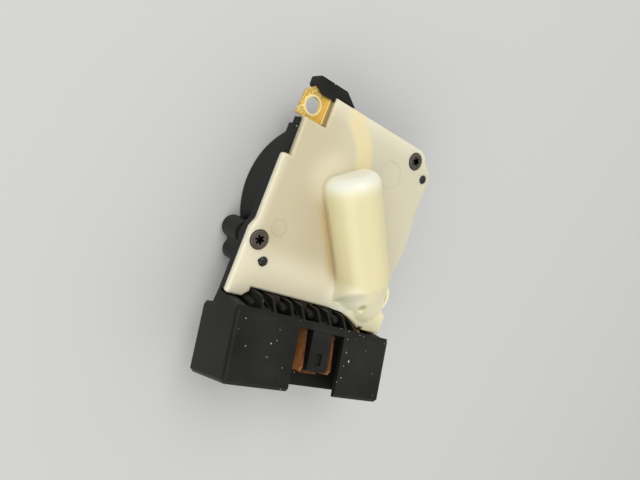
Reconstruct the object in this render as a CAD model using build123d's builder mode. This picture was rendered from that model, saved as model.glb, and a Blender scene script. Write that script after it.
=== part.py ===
from build123d import *
import os
from math import cos, radians, sin, tan

# Ignition switch: the electrical half of a steering lock, with its connector.
# The origin is on the rotor's axis at the drum's bottom face. +Z points out
# through the cover and +Y away from the connector. Millimetres and degrees.

# ---- driving dimensions ----------------------------------------------------
# heights above the drum's bottom face
floor_top = 2.4
flange_bottom = 16.0
trough_floor = 17.4
cover_bottom = 19.0
cover_top = 21.0
# drum
drum_r = 28.3
drum_wall = 2.2
bore_r = 6.35
mount_hole_x = 22.6
mount_hole_r = 1.6
mount_post_r = 3.0
mount_hole_depth = 9.0
# screws and locating pegs, as (x, y)
screw_at = [(-27.6, -15.6), (17.1, 25.9)]
peg_at = [(-23.9, -21.2), (23.3, 21.8)]
screw_head_r = 2.75
screw_head_h = 1.5
screw_recess = (0.95, 1.15, 0.36)
screw_shank_r = 1.4
screw_tip = 6.5
screw_boss_r = 3.6
screw_neck_r = 3.1
screw_boss_z = (2.2, 12.4)
seat_r = 3.0
seat_depth = 1.2
peg_r = 1.35
peg_boss_r = 3.4
peg_boss_at = [(-25.2, -22.1), (23.3, 21.8)]
peg_boss_bottom = 2.8
web_bottom = 4.6
finger_top = 20.4
# cover's rounded rim and the rings left by its ejector pins, as (x, y, radius)
cover_edge_r = 0.8
plate_left = (-31.5, -30.35)
plate_corner_r = 0.95
ejector_rings = [(8.9, 17.9, 4.5), (-23.0, -10.6, 2.6)]
ring_depth = 0.12
ring_width = 0.35
# cover pod, which lies along a line through the rotor's axis
pod_angle = -55.0
pod_start = -14.8
pod_end = 18.0
pod_half_width = 8.7
pod_side_height = 3.3
pod_end_r = 3.6
# from there the pod flows down to the raised corner, through sections given as
# (along, left, right, side height, crown height)
pod_tail = [
    (21.7, -7.6, 8.6, 3.4, 11.0),
    (25.5, -6.2, 8.2, 3.6, 8.2),
    (29.2, -5.2, 7.4, 3.8, 5.5),
    (33.0, -4.6, 6.4, 3.9, 4.15),
]
pod_wall = 1.6
# raised corner of the cover
corner_rise = 4.0
loop_foot = [(23.4, -16.5), (23.9, -24.7)]
loop_crest = (25.3, -20.9)
loop_top = 24.7
dimple_depth = 0.9
# connector shroud, tilted up out of the drum's plane
tilt = 16.57
shroud_at = (-2.8, -36.5, 21.1)
shroud_width = 58.4
shroud_mouth_width = 57.2
shroud_height = 20.7
shroud_depth = 19.2
shroud_root = 1.2
shroud_root_taper = 26.0
shroud_back = 1.2
shroud_skin = 1.5
mouth_chamfer = 0.9
cavity_width = 54.2
window_x = (-10.7, 6.7)
key_bar_x = (-5.2, 2.0)
key_bar_length = 12.8
blade_end = 13.2
# fins and domed bosses in the trough behind the shroud
pitch = 10.3
first_gap_x = -16.6
fin_thick = 0.9
fin_from_gap = 3.1
fin_front = -29.5
fin_shoulder = 26.6
rear_fin_front = -30.8
web_width = 3.4
domes = [(-24.5, -32.8, 25.3), (-14.8, -32.0, 26.8), (-4.6, -32.0, 26.8), (5.2, -31.8, 26.8)]
dome_r = 1.4
vent_r = 0.7
vent_y = -32.1
# sheet-metal contacts
sheet = 0.8
blade_height = 6.3
ring_r = (8.2, 11.4)
pad_r = (14.4, 18.4)
pad_half_angle = 11.0
riser_y = -31.4
rear_riser_y = -34.0
# rotor
fit = 0.05
hub_r = 7.0
hub_bottom = 3.1
disc_r = 18.6
disc_z = (10.0, 13.4)
neck_r = 5.4
cam_r = 6.2
cam_z = (21.6, 26.8)
pivot_r = 2.0
pivot_top = 30.2
step_angle = 30.0
notch_r = 1.12
notch_at = 6.2
socket = (8.2, 3.2, 7.0)
# contact bridges carried by the disc
bridge_angles = {"ignition": 60.0, "accessory": 180.0, "start": -60.0}
bridge_mid_r = 13.1
bridge_length = 9.4
bridge_width = 4.2
bridge_z = (16.7, 17.5)
contact_r = 1.1
contact_top = 18.15
pocket_r = 2.1
pocket_floor = 11.4
# detent plunger and its spring, along the pod
plunger_r = 3.4
plunger_z = 24.5
plunger_nose_r = 1.0
plunger_back = 14.0
bore_from = 8.4
bore_to = 21.2

os.makedirs("parts", exist_ok=True)


def save(builder, label):
    """Label a finished piece and write it under its own name."""
    builder.part.label = label
    export_step(builder.part, "parts/" + label + ".step")


def polar(radius, angle):
    """The (x, y) at that radius and angle about the rotor's axis."""
    return (radius * cos(radians(angle)), radius * sin(radians(angle)))


# ---- reference planes ------------------------------------------------------
pod_dir = Vector(*polar(1, pod_angle), 0)
pod_side = Vector(-pod_dir.Y, pod_dir.X, 0)
shroud_out = Vector(0, -cos(radians(tilt)), sin(radians(tilt)))
shroud_back_plane = Plane(origin=shroud_at, x_dir=(1, 0, 0), z_dir=shroud_out)
shroud_up = shroud_back_plane.y_dir
shroud_top = shroud_height / 2


def pod_plane(along, height=cover_top):
    """Section plane of the pod: x across it, y up and z along it."""
    at = pod_dir * along + Vector(0, 0, height)
    return Plane(origin=at, x_dir=pod_side, z_dir=pod_dir)


def shroud_plane(depth):
    """Section plane of the shroud, that deep towards its mouth."""
    return shroud_back_plane.offset(depth)


def shroud_yz(depth, up):
    """The (y, z) of a point of the shroud's sections, for profiles along X."""
    at = Vector(*shroud_at) + shroud_out * depth + shroud_up * up
    return (at.Y, at.Z)


def side_plane(x):
    """Plane across X whose sketch axes are the part's Y and Z."""
    return Plane(origin=(x, 0, 0), x_dir=(0, 1, 0), z_dir=(1, 0, 0))


gap_x = [first_gap_x + pitch * k for k in range(3)]
fin_x = [x + side * fin_from_gap for x in gap_x for side in (-1, 1)]
fin_x += [gap_x[0] - pitch + fin_from_gap, gap_x[-1] + pitch - fin_from_gap]
pair_x = [x - pitch / 2 for x in gap_x]
blade_x = {"accessory": -17.4, "ignition_1": -7.2, "ignition_2": 3.4, "start": 13.7}
feed_x = sum(key_bar_x) / 2
sense_x = 19.4
fret_z = cover_bottom - sheet
high_blade = shroud_top - 0.4
low_blade = shroud_top - 2.0
blade_slope = 1.1

# ---- sheet-metal contacts --------------------------------------------------


def pad_sketch(angle):
    """A sector pad of the fixed contacts, centred at that angle."""
    with BuildSketch() as pad:
        Circle(pad_r[1])
        Circle(pad_r[0], mode=Mode.SUBTRACT)
        with BuildLine():
            reach = 2 * pad_r[1]
            Polyline(
                (0, 0),
                polar(reach, angle - pad_half_angle),
                polar(reach, angle + pad_half_angle),
                close=True,
            )
        make_face(mode=Mode.INTERSECT)
    return pad.sketch


def edge_blade(angle, x, top, rise_y):
    """A terminal whose pad and lead lie flat and whose blade stands on edge."""
    low = top - blade_height
    start = polar(sum(pad_r) / 2, angle)
    with BuildPart() as terminal:
        with BuildSketch(Plane.XY.offset(fret_z)):
            add(pad_sketch(angle))
            with BuildLine():
                Polyline(start, (x, start[1] - 6), (x, rise_y))
            trace(line_width=2.6)
        extrude(amount=sheet)
        with BuildSketch(side_plane(x - sheet / 2)):
            with BuildLine():
                Polyline(
                    (rise_y + 1.3, fret_z),
                    (rise_y - 1.1, fret_z),
                    shroud_yz(-0.9, low),
                    shroud_yz(blade_end - 1.2, low),
                    shroud_yz(blade_end, low + 1.0),
                    shroud_yz(blade_end, top - 1.0),
                    shroud_yz(blade_end - 1.2, top),
                    shroud_yz(0.9, top - blade_slope),
                    shroud_yz(0.9, low + 2.0),
                    (rise_y + 1.3, 21.6),
                    close=True,
                )
            make_face()
        extrude(amount=sheet)
    return terminal


terminals = {
    "terminal_accessory": edge_blade(-157, blade_x["accessory"], low_blade, riser_y),
    "terminal_ignition_1": edge_blade(-120, blade_x["ignition_1"], high_blade, riser_y),
    "terminal_ignition_2": edge_blade(-60, blade_x["ignition_2"], high_blade, riser_y),
    "terminal_start": edge_blade(-24, blade_x["start"], low_blade, rear_riser_y),
}

# flat blade under the key bar, fed from a pad of its own
feed_up = high_blade - 3.6
with BuildPart() as terminal_feed:
    with BuildSketch(Plane.XY.offset(fret_z)):
        add(pad_sketch(-90))
        with BuildLine():
            Polyline((0, -16.4), (feed_x, -22), (feed_x, -30.6))
        trace(line_width=2.6)
    extrude(amount=sheet)
    with BuildSketch(side_plane(feed_x - 1.3)):
        with BuildLine():
            Polyline(
                (-29.8, fret_z),
                (-30.8, fret_z),
                shroud_yz(-1.0, feed_up - sheet),
                shroud_yz(1.2, feed_up - sheet),
                shroud_yz(1.2, feed_up),
                shroud_yz(-1.5, feed_up),
                (-29.8, fret_z + sheet),
                close=True,
            )
        make_face()
    extrude(amount=2.6)
    with BuildSketch(shroud_plane(0.8)):
        with Locations((feed_x - shroud_at[0], feed_up - sheet / 2)):
            Rectangle(5.8, sheet)
    extrude(amount=blade_end - 0.2)
terminals["terminal_feed"] = terminal_feed

# slim brass strip at the cover's raised corner
with BuildPart() as terminal_key_sense:
    with BuildSketch(Plane.XY.offset(fret_z)):
        with BuildLine():
            Polyline((21.6, -14.0), (sense_x, -19.0), (sense_x, rear_riser_y))
        trace(line_width=2.2)
    extrude(amount=sheet)
    with BuildSketch(side_plane(sense_x - sheet / 2)):
        with BuildLine():
            Polyline(
                (rear_riser_y + 0.6, fret_z),
                (rear_riser_y - 1.1, fret_z),
                shroud_yz(-0.4, 1.2),
                shroud_yz(blade_end - 1, 1.2),
                shroud_yz(blade_end, 1.8),
                shroud_yz(blade_end, 3.4),
                shroud_yz(blade_end - 1, 4.0),
                shroud_yz(0.4, 4.0),
                (rear_riser_y + 0.6, 22.6),
                close=True,
            )
        make_face()
    extrude(amount=sheet)
terminals["terminal_key_sense"] = terminal_key_sense

# brass supply strip: contact ring, diagonal strip, fold and plunged-hole tab
tab_z = 18.5
tab_hole = (-26.3, 25.2)
tab_hole_r = 2.0
collar_r = 2.6
with BuildPart() as battery_terminal:
    with BuildSketch(Plane.XY.offset(fret_z)):
        Circle(ring_r[1])
        with BuildLine():
            Polyline((0, 10), (0.5, 17.4), (-14.6, 26.0), (-21.4, 26.0))
        trace(line_width=6.4)
        Circle(ring_r[0], mode=Mode.SUBTRACT)
    extrude(amount=sheet)
    with BuildSketch(Plane.XY.offset(tab_z)):
        with BuildLine():
            Polyline(
                (-20.8, 21.3),
                (-20.8, 29.9),
                (-27.4, 30.6),
                (-30.0, 28.4),
                (-30.6, 21.3),
                close=True,
            )
        make_face()
    extrude(amount=sheet)
    with BuildSketch(Plane.XY.offset(fret_z)):
        with Locations((-21.4, 25.8)):
            Rectangle(1.7, 8.6)
    extrude(amount=1.6)
    with BuildSketch(Plane.XY.offset(tab_z - 1.6)):
        with Locations(tab_hole):
            Circle(collar_r)
    extrude(amount=1.6 + sheet + 0.25)
    with BuildSketch(Plane.XY.offset(tab_z - 1.6)):
        with Locations(tab_hole):
            Circle(tab_hole_r)
    extrude(amount=2 * collar_r, mode=Mode.SUBTRACT)
terminals["battery_terminal"] = battery_terminal

for name, terminal in terminals.items():
    save(terminal, name)

# ---- housing ---------------------------------------------------------------
wall_x = (-31.4, 26.1)
neck_x = (-24.5, 21.0)
rim_up = shroud_top - shroud_root * tan(radians(shroud_root_taper))
rim_yz = shroud_yz(-shroud_root, rim_up)
# domed bosses of the trough, the first one lower and at the cover's foot
with BuildPart() as dome_form:
    for x, y, top in domes:
        with BuildSketch(Plane.XY.offset(trough_floor - 1)):
            with Locations((x, y)):
                Circle(dome_r)
        extrude(amount=top - trough_floor + 1)
    tops = dome_form.edges().filter_by(GeomType.CIRCLE).filter_by(lambda e: e.center().Z > cover_top)
    fillet(tops, radius=dome_r - 0.15)

with BuildPart() as housing:
    # drum and flange
    with BuildSketch():
        Circle(drum_r)
    extrude(amount=cover_bottom)
    fillet(housing.edges().filter_by(GeomType.CIRCLE).sort_by(Axis.Z)[0], radius=0.8)
    with BuildSketch(Plane.XY.offset(flange_bottom)):
        with BuildLine():
            Polyline(
                (wall_x[0], -32.0),
                (wall_x[1], -32.0),
                (wall_x[1], 21.8),
                (17.1, 29.4),
                (-20.0, 29.4),
                (-20.0, 20.8),
                (-28.6, 20.8),
                (-28.6, 18.9),
                (-29.6, 18.5),
                (-29.6, 9.4),
                (-30.4, 9.4),
                (-30.4, -10.2),
                (wall_x[0], -12.9),
                close=True,
            )
        make_face()
    extrude(amount=cover_bottom - flange_bottom)
    # stepped bosses under the screws, bosses under the pegs, all webbed to the drum
    for x, y in screw_at:
        with BuildSketch(Plane.XY.offset(screw_boss_z[0])):
            with Locations((x, y)):
                Circle(screw_boss_r)
        extrude(amount=screw_boss_z[1] - screw_boss_z[0])
        with BuildSketch(Plane.XY.offset(screw_boss_z[1])):
            with Locations((x, y)):
                Circle(screw_neck_r)
        extrude(amount=flange_bottom - screw_boss_z[1])
    for x, y in peg_boss_at:
        with BuildSketch(Plane.XY.offset(peg_boss_bottom)):
            with Locations((x, y)):
                Circle(peg_boss_r)
        extrude(amount=flange_bottom - peg_boss_bottom)
    for x, y in screw_at + peg_boss_at:
        with BuildSketch(Plane.XY.offset(web_bottom)):
            with BuildLine():
                Line((x * 0.8, y * 0.8), (x, y))
            trace(line_width=3.0)
        extrude(amount=flange_bottom - web_bottom)
    with BuildSketch(Plane.XY.offset(web_bottom)):
        with BuildLine():
            Line(screw_at[0], peg_boss_at[0])
        trace(line_width=5.6)
    extrude(amount=flange_bottom - web_bottom)
    # trough floor across the full width, and a deeper neck under its middle
    with BuildSketch(side_plane(wall_x[0])):
        with BuildLine():
            Polyline(
                (fin_front, cover_bottom),
                (-29.8, trough_floor),
                shroud_yz(0, -4.5),
                shroud_yz(0, -5.3),
                (-26.0, flange_bottom),
                (-26.0, cover_bottom),
                close=True,
            )
        make_face()
    extrude(amount=wall_x[1] - wall_x[0])
    with BuildSketch(side_plane(neck_x[0])):
        with BuildLine():
            Polyline(
                (fin_front, cover_bottom),
                (-29.8, trough_floor),
                shroud_yz(0, -4.5),
                shroud_yz(0, -9.6),
                (-34.2, 12.6),
                (-26.0, flange_bottom),
                (-26.0, cover_bottom),
                close=True,
            )
        make_face()
    extrude(amount=neck_x[1] - neck_x[0])
    # shroud
    with BuildSketch(shroud_back_plane):
        RectangleRounded(shroud_width, shroud_height, 1.2)
    with BuildSketch(shroud_plane(shroud_depth)):
        RectangleRounded(shroud_mouth_width, shroud_height, 1.2)
    loft()
    mouth = housing.faces().sort_by(Axis((0, 0, 0), shroud_out))[-1].edges()
    chamfer(mouth, length=mouth_chamfer)
    with BuildSketch(shroud_back_plane):
        RectangleRounded(shroud_width, shroud_height, 1.2)
    extrude(amount=-shroud_root, taper=shroud_root_taper)
    # end blocks of the trough, flush with the shroud's sides
    for x0, x1, front in ((wall_x[0], -28.0, -32.8), (22.0, wall_x[1], -33.3)):
        with BuildSketch(side_plane(x0)):
            with BuildLine():
                Polyline(
                    (front, flange_bottom),
                    (front, 28.6),
                    rim_yz,
                    shroud_yz(0, rim_up),
                    shroud_yz(0, -6.0),
                    close=True,
                )
            make_face()
        extrude(amount=x1 - x0)
    # gusset fins, the last one set back behind the cover's raised corner
    for x in fin_x:
        front = fin_front if x < 9 else rear_fin_front
        with BuildSketch(side_plane(x - fin_thick / 2)):
            with BuildLine():
                Polyline(
                    (front, flange_bottom),
                    (front, fin_shoulder),
                    rim_yz,
                    shroud_yz(0, rim_up),
                    shroud_yz(0, -6.0),
                    close=True,
                )
            make_face()
        extrude(amount=fin_thick)
    # webs over the terminals' risers in the wide gaps
    for x in gap_x:
        with BuildSketch(side_plane(x - web_width / 2)):
            with BuildLine():
                Polyline(
                    (fin_front, trough_floor - 1),
                    (fin_front, 22.4),
                    shroud_yz(0, 4.6),
                    shroud_yz(0, -6.0),
                    close=True,
                )
            make_face()
        extrude(amount=web_width)
    # vented webs in the narrow gaps
    for x in pair_x:
        with BuildSketch(side_plane(x - fin_from_gap / 2)):
            with BuildLine():
                Polyline(
                    (-30.2, trough_floor - 1),
                    (-30.2, 21.6),
                    shroud_yz(-shroud_root - 0.6, rim_up - 1.2),
                    shroud_yz(0, rim_up - 1.2),
                    shroud_yz(0, -6.0),
                    close=True,
                )
            make_face()
        extrude(amount=fin_from_gap)
        with BuildSketch(Plane.XY.offset(fin_shoulder - 2)):
            with Locations((x, vent_y)):
                Circle(vent_r)
        extrude(amount=4.0, mode=Mode.SUBTRACT)
    add(dome_form.part)
    # hollow of the drum, mounting posts, bore and holes
    with BuildSketch(Plane.XY.offset(floor_top)):
        Circle(drum_r - drum_wall)
    extrude(amount=cover_bottom - floor_top, mode=Mode.SUBTRACT)
    with BuildSketch(Plane.XY.offset(floor_top)):
        with Locations((-mount_hole_x, 0), (mount_hole_x, 0)):
            Circle(mount_post_r)
    extrude(amount=mount_hole_depth)
    with BuildSketch():
        with Locations((-mount_hole_x, 0), (mount_hole_x, 0)):
            Circle(mount_hole_r)
    extrude(amount=mount_hole_depth, mode=Mode.SUBTRACT)
    with BuildSketch():
        Circle(bore_r)
    extrude(amount=floor_top, mode=Mode.SUBTRACT)
    with BuildSketch(Plane.XY.offset(screw_tip - 0.5)):
        with Locations(*screw_at):
            Circle(screw_shank_r)
    extrude(amount=cover_bottom - screw_tip + 0.5, mode=Mode.SUBTRACT)
    # connector cavity, its window and the key bar
    with BuildSketch(shroud_plane(shroud_back)):
        RectangleRounded(cavity_width, shroud_height - 2 * shroud_skin, 0.8)
    extrude(amount=shroud_depth, mode=Mode.SUBTRACT)
    with BuildSketch(shroud_plane(shroud_back)):
        with Locations((sum(window_x) / 2 - shroud_at[0], shroud_top)):
            Rectangle(window_x[1] - window_x[0], 4 * shroud_skin)
    extrude(amount=shroud_depth, mode=Mode.SUBTRACT)
    with BuildSketch(shroud_plane(0.4)):
        with Locations((feed_x - shroud_at[0], high_blade - 1.5)):
            Rectangle(key_bar_x[1] - key_bar_x[0], 3.0)
    extrude(amount=key_bar_length - 0.4)
    with BuildSketch(shroud_plane(7.6)):
        with Locations((feed_x - shroud_at[0], high_blade)):
            Rectangle(2.2, 1.6)
    extrude(amount=3.4, mode=Mode.SUBTRACT)
    # locating pegs that stand through the cover
    for x, y in peg_at:
        with BuildSketch(Plane.XY.offset(flange_bottom)):
            with Locations((x, y)):
                Circle(peg_r)
        extrude(amount=cover_top - flange_bottom + 0.5)
        fillet(housing.faces(Select.LAST).sort_by(Axis.Z)[-1].edges(), radius=0.8)
    # guard finger beside the supply terminal, stepped to clear the cover's edge
    for low, high in ((flange_bottom, cover_bottom), (cover_bottom, finger_top)):
        with BuildSketch(Plane.XY.offset(low)) as finger:
            with BuildLine():
                Polyline(
                    (-19.4, 28.2),
                    (-21.2, 29.2),
                    (-25.0, 29.2),
                    (-28.0, 30.9),
                    (-28.0, 33.6),
                    (-17.6, 33.6),
                    (-13.2, 30.6),
                    (-12.6, 28.2),
                    close=True,
                )
            make_face()
            fillet(finger.vertices(), radius=0.7)
            if low == cover_bottom:
                with Locations((-20.6, 20.5)):
                    Rectangle(12, 10.1, align=(Align.MIN, Align.MIN), mode=Mode.SUBTRACT)
        extrude(amount=high - low)
    # seats of the insert-moulded terminals
    for terminal in terminals.values():
        add(terminal.part, mode=Mode.SUBTRACT)
save(housing, "housing")

# ---- cover -----------------------------------------------------------------


def pod_outline(half_width, below, side=pod_side_height, crown=None):
    """Upright sides, from below the plate's top, under a round crown."""
    crown = crown or side + half_width
    with BuildSketch() as outline:
        with BuildLine():
            Line((-half_width, -below), (half_width, -below))
            Line((half_width, -below), (half_width, side))
            ThreePointArc((half_width, side), (0, crown), (-half_width, side))
            Line((-half_width, side), (-half_width, -below))
        make_face()
    return outline.sketch


with BuildPart() as pod_form:
    with BuildSketch(pod_plane(pod_start)):
        add(pod_outline(pod_half_width, 1.0))
    extrude(amount=pod_end - pod_start)
    end = pod_form.faces().sort_by(Axis((0, 0, 0), pod_dir))[0]
    fillet([e for e in end.edges() if e.center().Z > cover_top], radius=pod_end_r)
    with BuildSketch(pod_plane(pod_end)):
        add(pod_outline(pod_half_width, 1.0))
    for along, left, right, side, crown in pod_tail:
        with BuildSketch(pod_plane(along)):
            with Locations(((left + right) / 2, 0)):
                add(pod_outline((right - left) / 2, 1.0, side, crown))
    loft()

with BuildPart() as corner_form:
    with BuildSketch(Plane.XY.offset(cover_top - 0.5)):
        with BuildLine():
            Polyline(
                (5.0, -29.1),
                (9.8, -29.1),
                (15.4, -32.0),
                (18.2, -32.0),
                (18.8, -32.9),
                (26.8, -32.9),
                (26.5, -26.3),
                (23.9, -24.7),
                (23.3, -16.6),
                (21.4, -12.6),
                (17.0, -10.0),
                (5.0, -20.0),
                close=True,
            )
        make_face()
    extrude(amount=corner_rise + 0.5)
    fillet(corner_form.faces().sort_by(Axis.Z)[-1].edges(), radius=0.6)
    with BuildSketch(Plane.XZ.offset(40)):
        with BuildLine():
            Polyline(
                (4.0, cover_top - 0.1),
                (5.2, cover_top),
                (11.5, cover_top + corner_rise),
                (11.5, cover_top + corner_rise + 1),
                (4.0, cover_top + corner_rise + 1),
                close=True,
            )
        make_face()
    extrude(amount=-36, mode=Mode.SUBTRACT)

with BuildPart() as cover:
    # plate
    with BuildSketch(Plane.XY.offset(cover_bottom)) as plate:
        with BuildLine():
            Polyline(
                (26.5, 9.4),
                (26.5, 22.4),
                (25.4, 25.1),
                (21.9, 27.2),
                (20.8, 29.2),
                (18.4, 30.3),
                (-20.3, 30.3),
                (-20.3, 21.2),
                (-27.9, 21.2),
                (-27.7, 9.7),
                (plate_left[1], 9.7),
                (plate_left[1], -10.2),
                (plate_left[0], -12.9),
                (plate_left[0], -32.5),
                (-26.4, -32.5),
                (-25.3, -31.4),
                (-24.4, -30.7),
                (-24.4, -29.35),
                (9.8, -29.35),
                (15.4, -32.2),
                (18.2, -32.2),
                (18.8, -33.1),
                (27.0, -33.1),
                (27.0, -10.6),
            )
            ThreePointArc((27.0, -10.6), (27.85, 0.4), (26.5, 9.4))
        make_face()
        for x in plate_left:
            fillet([v for v in plate.vertices() if abs(v.X - x) < 0.01], radius=plate_corner_r)
    extrude(amount=cover_top - cover_bottom)
    fillet(cover.faces().sort_by(Axis.Z)[-1].edges(), radius=cover_edge_r)
    add(pod_form.part)
    add(corner_form.part)
    # snap loop bulging from the raised corner's edge, and the slit inside it
    with BuildSketch(Plane.XY.offset(cover_bottom)):
        with BuildLine():
            Polyline(loop_foot[1], (22.5, loop_foot[1][1]), (22.5, loop_foot[0][1]), loop_foot[0])
            ThreePointArc(loop_foot[0], loop_crest, loop_foot[1])
        make_face()
    extrude(amount=loop_top - cover_bottom)
    with BuildSketch(Plane.XY.offset(cover_bottom)):
        with BuildLine():
            Line((23.2, -18.6), (23.5, -22.8))
            ThreePointArc((23.5, -22.8), (24.1, -20.8), (23.2, -18.6))
        make_face()
    extrude(amount=corner_rise + 3, mode=Mode.SUBTRACT)
    # chamber over the rotor's cam, and the pivot boss under the crown
    with BuildSketch(pod_plane(pod_start + pod_wall)):
        add(pod_outline(pod_half_width - pod_wall, 3.0))
    extrude(amount=bore_from - pod_start - pod_wall, mode=Mode.SUBTRACT)
    with BuildSketch(Plane.XY.offset(cam_z[1] + 0.6)):
        Circle(pivot_r + 1.6)
    extrude(amount=cover_top + pod_side_height + pod_half_width - 0.8 - cam_z[1] - 0.6)
    with BuildSketch(Plane.XY.offset(cam_z[1])):
        Circle(pivot_r + fit)
    extrude(amount=pivot_top + 0.3 - cam_z[1], mode=Mode.SUBTRACT)
    # bore of the detent plunger
    with BuildSketch(pod_plane(bore_from - 1, plunger_z)):
        Circle(plunger_r + fit)
    extrude(amount=bore_to - bore_from + 1, mode=Mode.SUBTRACT)
    # screw seats, screw holes and peg holes
    with BuildSketch(Plane.XY.offset(cover_top - seat_depth)):
        with Locations(*screw_at):
            Circle(seat_r)
    extrude(amount=2.0, mode=Mode.SUBTRACT)
    with BuildSketch(Plane.XY.offset(cover_bottom)):
        with Locations(*screw_at):
            Circle(screw_shank_r + 0.2)
        with Locations(*peg_at):
            Circle(peg_r + 0.15)
        with Locations((peg_at[0][0] - 1.3, peg_at[0][1])):
            Rectangle(0.9, 0.9)
    extrude(amount=cover_top - cover_bottom, mode=Mode.SUBTRACT)
    # ejector-pin rings
    with BuildSketch(Plane.XY.offset(cover_top - ring_depth)):
        for x, y, radius in ejector_rings:
            with Locations((x, y)):
                Circle(radius)
                Circle(radius - ring_width, mode=Mode.SUBTRACT)
    extrude(amount=2 * ring_depth, mode=Mode.SUBTRACT)
    # dimple in the raised corner
    with BuildSketch(Plane.XY.offset(cover_top + corner_rise - dimple_depth)):
        with Locations((15.7, -25.9)):
            SlotOverall(3.0, 2.0, rotation=68)
    extrude(amount=4.0, mode=Mode.SUBTRACT)
save(cover, "cover")

# ---- screws ----------------------------------------------------------------
with BuildPart() as cover_screws:
    head_z = cover_top - seat_depth
    for x, y in screw_at:
        with BuildSketch(Plane.XY.offset(head_z)):
            with Locations((x, y)):
                Circle(screw_head_r)
        extrude(amount=screw_head_h)
        rim = cover_screws.faces(Select.LAST).sort_by(Axis.Z)[-1].edges()
        fillet(rim, radius=0.35)
        with BuildSketch(Plane.XY.offset(screw_tip)):
            with Locations((x, y)):
                Circle(screw_shank_r)
        extrude(amount=head_z - screw_tip)
        tip = cover_screws.faces(Select.LAST).sort_by(Axis.Z)[0].edges()
        chamfer(tip, length=0.7)
        with BuildSketch(Plane.XY.offset(head_z + 0.3)):
            with Locations((x, y)):
                Circle(screw_recess[0])
                with PolarLocations(screw_recess[1], 6):
                    Circle(screw_recess[2])
        extrude(amount=screw_head_h, mode=Mode.SUBTRACT)
save(cover_screws, "cover_screws")

# ---- rotor -----------------------------------------------------------------
with BuildPart() as rotor:
    with BuildSketch(Plane.XZ) as half:
        with BuildLine():
            Polyline(
                (0, 0.3),
                (bore_r - fit, 0.3),
                (bore_r - fit, hub_bottom),
                (hub_r, hub_bottom),
                (hub_r, disc_z[0]),
                (disc_r, disc_z[0]),
                (disc_r, disc_z[1]),
                (neck_r, disc_z[1]),
                (neck_r, cam_z[0]),
                (cam_r, cam_z[0] + 0.8),
                (cam_r, cam_z[1] - 0.4),
                (cam_r - 0.4, cam_z[1]),
                (pivot_r, cam_z[1]),
                (pivot_r, pivot_top - 0.3),
                (pivot_r - 0.3, pivot_top),
                (0, pivot_top),
                close=True,
            )
        make_face()
    revolve(axis=Axis.Z)
    # click notches, one for each key position
    with BuildSketch(Plane.XY.offset(cam_z[0])):
        for k in range(4):
            with Locations(polar(notch_at, pod_angle - k * step_angle)):
                Circle(notch_r)
    extrude(amount=cam_z[1] - cam_z[0], mode=Mode.SUBTRACT)
    # drive socket for the lock's tail
    with BuildSketch():
        SlotOverall(socket[0], socket[1])
    extrude(amount=socket[2], mode=Mode.SUBTRACT)
    # spring pockets and the fences that carry the bridges round
    for angle in bridge_angles.values():
        spot = polar(bridge_mid_r, angle)
        with BuildSketch(Plane(origin=(*spot, disc_z[1]), x_dir=(*polar(1, angle), 0))):
            for side in (-1, 1):
                with Locations((0, side * (bridge_width / 2 + 0.75))):
                    Rectangle(3.6, 1.2)
        extrude(amount=bridge_z[1] - disc_z[1] - 0.3)
        with BuildSketch(Plane.XY.offset(pocket_floor)):
            with Locations(spot):
                Circle(pocket_r)
        extrude(amount=disc_z[1] - pocket_floor, mode=Mode.SUBTRACT)
save(rotor, "rotor")

# ---- contact bridges and their springs -------------------------------------


def coil(radius, wire_r, turns, length, plane):
    """A compression spring that stands on the given plane."""
    height = length - 2 * wire_r
    with BuildPart() as spring:
        with BuildLine() as wire:
            base = plane.offset(wire_r)
            Helix(height / turns, height, radius, center=base.origin, direction=base.z_dir)
        with BuildSketch(Plane(origin=wire.line @ 0, z_dir=wire.line % 0)):
            Circle(wire_r)
        sweep()
    return spring


for name, angle in bridge_angles.items():
    spot = polar(bridge_mid_r, angle)
    radial = polar(1, angle)
    with BuildPart() as bridge:
        with BuildSketch(Plane(origin=(*spot, bridge_z[0]), x_dir=(*radial, 0))):
            RectangleRounded(bridge_length, bridge_width, 0.8)
        extrude(amount=bridge_z[1] - bridge_z[0])
        for radius in (ring_r[0] + 1.7, pad_r[0] + 1.8):
            with BuildSketch(Plane.XY.offset(bridge_z[1])):
                with Locations(polar(radius, angle)):
                    Circle(contact_r)
            extrude(amount=contact_top - bridge_z[1])
            fillet(bridge.faces(Select.LAST).sort_by(Axis.Z)[-1].edges(), radius=0.4)
    save(bridge, "contact_bridge_" + name)
    at = Plane(origin=(*spot, pocket_floor))
    spring = coil(1.6, 0.2, 4, bridge_z[0] - pocket_floor - 0.02, at)
    save(spring, "contact_spring_" + name)

# ---- detent plunger and spring ---------------------------------------------
with BuildPart() as detent_plunger:
    tip = cam_r + 0.1
    half = Plane(origin=(0, 0, plunger_z), x_dir=pod_dir, z_dir=-pod_side)
    with BuildSketch(half):
        with BuildLine():
            l1 = Line((tip + 3.4, plunger_r), (plunger_back, plunger_r))
            Line(l1 @ 1, (plunger_back, 2.2))
            Line((plunger_back, 2.2), (plunger_back - 2.5, 2.2))
            Line((plunger_back - 2.5, 2.2), (plunger_back - 2.5, 0))
            Line((plunger_back - 2.5, 0), (tip, 0))
            RadiusArc((tip, 0), (tip + plunger_nose_r, plunger_nose_r), plunger_nose_r)
            Line((tip + plunger_nose_r, plunger_nose_r), l1 @ 0)
        make_face()
    revolve(axis=Axis((0, 0, plunger_z), pod_dir))
save(detent_plunger, "detent_plunger")

spring_from = plunger_back - 2.5
spring_plane = pod_plane(spring_from + 0.02, plunger_z)
detent_spring = coil(1.75, 0.3, 7, bore_to - spring_from - 0.04, spring_plane)
save(detent_spring, "detent_spring")

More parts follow.
